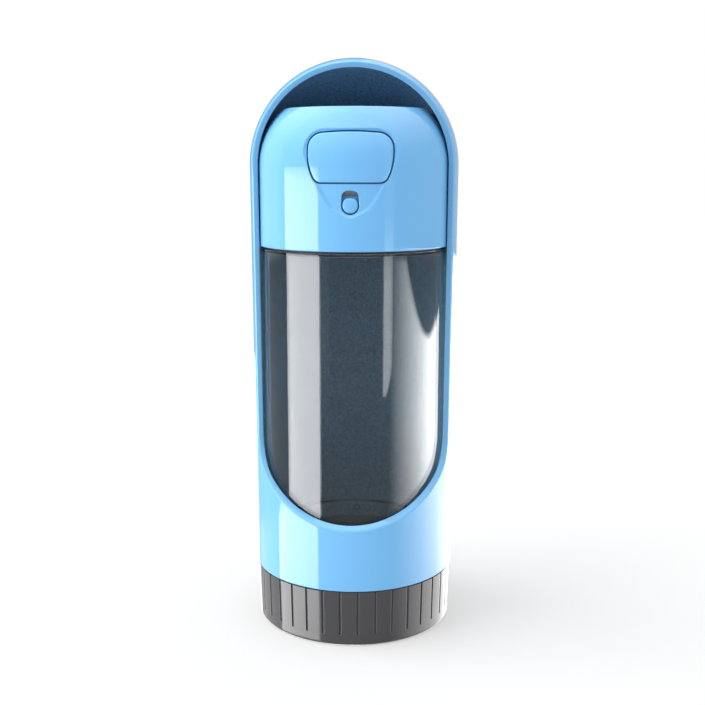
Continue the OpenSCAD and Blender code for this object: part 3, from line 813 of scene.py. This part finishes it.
def spring(name, r, wire, length, turns=6.0):
    """Compression spring up Z from 0: its end turns lie close, the others are even."""
    t = np.linspace(0, turns, int(turns * 36) + 1)
    near = wire * 1.05
    z = wire / 2 + np.interp(t, [0, 1, turns - 1, turns], [0, near, length - wire - near, length - wire])
    a = 2 * math.pi * t
    skin = Skin()
    skin.grid(tube_along(np.stack([r * np.cos(a), r * np.sin(a), z], -1), wire / 2))
    return skin.weld(name, STEEL)


def thread():
    """Outside thread of the tank's lower neck: a ridge wound up at the cap's pitch."""
    t = np.linspace(0, 1, 361)
    turns, z0 = 2.4, MOUTH_Z + 2.0
    a = t * turns * 2 * math.pi
    height = 0.45 * np.clip(np.minimum(t, 1 - t) * 12, 0, 1)
    z = z0 + t * turns * THREAD_PITCH
    rows = []
    for rise, dz in ((0, -0.9), (1, -0.35), (1, 0.35), (0, 0.9), (0, -0.9)):
        r = MOUTH_NECK_R - 0.1 + rise * (height + 0.1)
        rows.append(np.stack([r * np.sin(a), -r * np.cos(a), z + dz], -1))
    grid = np.stack(rows)
    ends = [np.repeat(grid[:4, k].mean(0)[None, None], 5, axis=0) for k in (0, -1)]
    skin = Skin()
    skin.grid(np.concatenate([ends[0], grid, ends[1]], axis=1))
    return skin.weld("neck_thread", SMOKE)


def gate_mark():
    """Small ring left by the mould's gate, inside the tank's far wall."""
    ring_r, wire_r = 1.0, 0.14
    middle = np.array([0, MOUTH_R - 0.02, 29.5])
    a, b = turn_angles(32), turn_angles(8)[None, :, None]
    out = np.stack([np.cos(a), 0 * a, np.sin(a)], -1)[:, None]
    skin = Skin()
    skin.grid(middle + ring_r * out + wire_r * (np.cos(b) * out + np.sin(b) * np.array([0, 1.0, 0])))
    return skin.weld("gate_mark", SILICONE)


# ---------------------------------------------------------------- pieces on their bodies

# Y of the button's spring at the button and at its fixed end, and its height
BUTTON_SPRING = (-29.45, -17.5, 169.0)
# Height of the valve's spring at its fixed foot and at its top
VALVE_SPRING = (148.6, 158.05)


def move_points(piece, change):
    """Replaces the piece's points, in metres, by what change makes of them."""
    points = np.array([tuple(v.co) for v in piece.data.vertices])
    piece.data.vertices.foreach_set("co", change(points).ravel())


def coil_behind_button():
    """Spring laid along Y, behind the button."""
    start, end, z = BUTTON_SPRING
    coil = spring("button_coil", BUTTON_COIL_R, SPRING_WIRE, end - start)
    move_points(coil, lambda p: np.stack([p[:, 0], start * MM + p[:, 2], z * MM - p[:, 1]], -1))
    return coil


def coil_round_stem():
    """Spring that stands round the valve's stem."""
    low, high = VALVE_SPRING
    coil = spring("valve_coil", VALVE_COIL_R, SPRING_WIRE, high - low)
    move_points(coil, lambda p: p + [0, 0, low * MM])
    return coil


button_coil = coil_behind_button()
valve_coil = coil_round_stem()

for piece, node, body, slot in (
    (shell(), "scoop_shell", "bottle", "blue_abs"),
    (head(), "head_housing", "bottle", "blue_abs"),
    (tank(), "tank", "bottle", "smoke_clear"),
    (gasket(), "neck_gasket", "bottle", "dark_silicone"),
    (button(), "button", "press_button", "blue_abs"),
    (lock(), "lock_slider", "lock", "blue_abs"),
    (base_cap(), "base_cap", "cap", "dark_abs"),
    (button_coil, "button_spring", "bottle", "spring_steel"),
    (valve_coil, "valve_spring", "bottle", "spring_steel"),
    (thread(), None, "bottle", "smoke_clear"),
    (gate_mark(), None, "bottle", "dark_silicone"),
):
    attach(piece, body)
    if node:
        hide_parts(node)

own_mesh(button_coil)
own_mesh(valve_coil)

FINISHES = {
    "blue_abs": BLUE_ABS,
    "smoke_clear": SMOKE,
    "dark_silicone": SILICONE,
    "white_pom": WHITE_POM,
    "spring_steel": STEEL,
    "carbon": CARBON,
    "nonwoven": FELT,
    "dark_abs": DARK_ABS,
}
SLOT_OF = {row["node"]: row["material_slot"] for row in frame["record"]["subparts"]}
for node_name, node_object in frame["nodes"].items():
    node_object.data.materials.clear()
    node_object.data.materials.append(FINISHES[SLOT_OF[node_name]])

# ---------------------------------------------------------------- floor, light, camera


def floor():
    """Pale floor: nearly white to the camera, with a soft contact shadow.

    Reflections, and rays that leave the clear tank, don't see it: they see the world's softboxes.
    """
    size, white_share = 3.0, 0.42
    mesh = bpy.data.meshes.new("floor")
    corners = [(-size, -size, 0), (size, -size, 0), (size, size, 0), (-size, size, 0)]
    mesh.from_pydata(corners, [], [(0, 1, 2, 3)])
    plane = bpy.data.objects.new("floor", mesh)
    bpy.context.scene.collection.objects.link(plane)
    material, tree, out = new_material("pale_studio_floor")
    matt = add(tree, "ShaderNodeBsdfDiffuse", {"Color": (0.7, 0.7, 0.7, 1)})
    white = add(tree, "ShaderNodeEmission", {"Color": (1, 1, 1, 1), "Strength": 1.0})
    path = add(tree, "ShaderNodeLightPath")
    share = math_out(tree, "MULTIPLY", path.outputs["Is Camera Ray"], white_share)
    both = add(tree, "ShaderNodeMixShader", {}, {0: share, 1: matt.outputs[0], 2: white.outputs[0]})
    tree.links.new(both.outputs[0], out.inputs["Surface"])
    mesh.materials.append(material)
    plane.visible_glossy = False
    plane.visible_transmission = False


floor()


def world():
    """Soft studio: white to the camera, with softboxes for reflections and for clear pieces.

    Azimuth is 0 at the front and grows to the right; azimuth and rise are in degrees. A ramp
    goes from start to end between two angles, and a box is the product of ramps at its edges.
    """
    studio = bpy.data.worlds.new("studio")
    bpy.context.scene.world = studio
    studio.use_nodes = True
    tree = studio.node_tree
    tree.nodes.clear()
    out = tree.nodes.new("ShaderNodeOutputWorld")

    def calc(op, *ins):
        return math_out(tree, op, *ins)

    def ramp(value, low, high, start=0.0, end=1.0):
        return add(tree, "ShaderNodeMapRange", {1: low, 2: high, 3: start, 4: end}, {0: value}).outputs[0]

    def product(*parts):
        value = parts[0]
        for part in parts[1:]:
            value = calc("MULTIPLY", value, part)
        return value

    def total(*parts):
        value = parts[0]
        for part in parts[1:]:
            value = calc("ADD", value, part)
        return value

    way = add(tree, "ShaderNodeTexCoord")
    x, y, z = add(tree, "ShaderNodeSeparateXYZ", {}, {0: way.outputs["Generated"]}).outputs
    azimuth = calc("DEGREES", calc("ARCTAN2", x, calc("MULTIPLY", y, -1.0)))
    rise = calc("DEGREES", calc("ARCSINE", z))

    # Left box: the broad upright reflection on the tank, the head and the shell
    near_edge = ramp(rise, -19.5, -18, -96.5, -86.5)
    left = product(
        ramp(calc("SUBTRACT", azimuth, near_edge), -0.4, 0.4), ramp(azimuth, -40.6, -39.8, 1, 0),
        ramp(rise, -0.8, -0.2, 7.4, 0), ramp(rise, -24, -21, 0.8, 1), ramp(rise, -40, -26, 0.1, 1),
    )
    # Right box: it brightens to the right, and its upper edge is a parabola
    off = calc("SUBTRACT", azimuth, 105.0)
    dip = calc("MINIMUM", calc("MULTIPLY_ADD", calc("MULTIPLY", off, off), 0.0029, -9.15), -5.0)
    right = product(
        ramp(azimuth, 47, 100, 0, 7.8), ramp(calc("SUBTRACT", dip, rise), 0, 0.5),
        ramp(rise, -24, -14, 0.36, 1), ramp(rise, -40, -26, 0.2, 1), ramp(azimuth, 160, 180, 1, 0.5),
        calc("SUBTRACT", 1.0, product(ramp(rise, -19, -17), ramp(azimuth, 110, 135, 0, 0.4))),
    )
    # Behind the object, on the left: what surfaces at its left edge mirror
    behind = product(ramp(azimuth, -180, -150, 4.8, 0), ramp(rise, -10.8, -10.2, 1, 0))
    # Narrow strip right of the middle, whose far edge is round at its foot
    fall = ramp(rise, -12.7, -10.4, 1, 0)
    bow = calc("SQRT", calc("SUBTRACT", 1.0, calc("MULTIPLY", fall, fall)))
    far_edge = calc("MULTIPLY_ADD", bow, 12.0, 37.5)
    strip = product(
        ramp(azimuth, 37.5, 38.3), ramp(calc("SUBTRACT", far_edge, azimuth), 0, 0.8),
        ramp(rise, -6, -3, 3.2, 0.4),
    )
    # Faint walls on both sides, above and below the height of the tank's reflections
    beside = product(
        total(ramp(rise, -5.5, -4.5), ramp(rise, -20, -19, 1, 0)),
        total(
            product(ramp(azimuth, -150, -140), ramp(azimuth, -98, -92, 0.6, 0)),
            ramp(azimuth, 60, 80, 0, 0.35),
        ),
    )
    glow = total(left, right, behind, strip, beside, ramp(rise, -20, -5, 0.5, 0.22), ramp(rise, 20, 60, 0, 2))

    # Light on the object: an even level, more from above, and a soft box on the left
    side = product(
        ramp(azimuth, -130, -110), ramp(azimuth, -55, -35, 1, 0),
        ramp(rise, -15, 5), ramp(rise, 50, 70, 3.0, 0),
    )
    fill = total(0.42, calc("MAXIMUM", z, 0.0), side)

    path = add(tree, "ShaderNodeLightPath")
    clear = calc("MAXIMUM", path.outputs["Is Glossy Ray"], path.outputs["Is Transmission Ray"])
    # Rays that have gone on to the tank's far wall see the boxes weaker
    glow = calc("MULTIPLY", glow, ramp(path.outputs["Transmission Depth"], 2, 3, 1, 0.15))
    level = add(tree, "ShaderNodeMix", {}, {0: clear, 2: fill, 3: glow}, data_type="FLOAT").outputs[0]
    white = add(
        tree, "ShaderNodeMix", {3: 1.0}, {0: path.outputs["Is Camera Ray"], 2: level}, data_type="FLOAT"
    ).outputs[0]
    background = add(tree, "ShaderNodeBackground", {"Color": (1, 1, 1, 1)}, {"Strength": white})
    tree.links.new(background.outputs[0], out.inputs["Surface"])


world()


def camera():
    """Camera of the photograph: slightly right of the front and 10 degrees down."""
    focal_px, side_px = 1059.0, 705.0
    distance, height = 0.383, 0.168
    pitch, swing = math.radians(10.28), math.radians(2.3)
    aim_off_px = 1.7
    data = bpy.data.cameras.new("camera")
    data.sensor_width = 36.0
    data.sensor_height = 36.0
    data.lens = focal_px / side_px * data.sensor_width
    eye = bpy.data.objects.new("camera", data)
    eye.location = (distance * math.sin(swing), -distance * math.cos(swing), height)
    eye.rotation_euler = (math.pi / 2 - pitch, 0, swing + math.atan(aim_off_px / focal_px))
    bpy.context.scene.collection.objects.link(eye)
    bpy.context.scene.camera = eye


camera()
bpy.context.scene.view_settings.view_transform = "Standard"
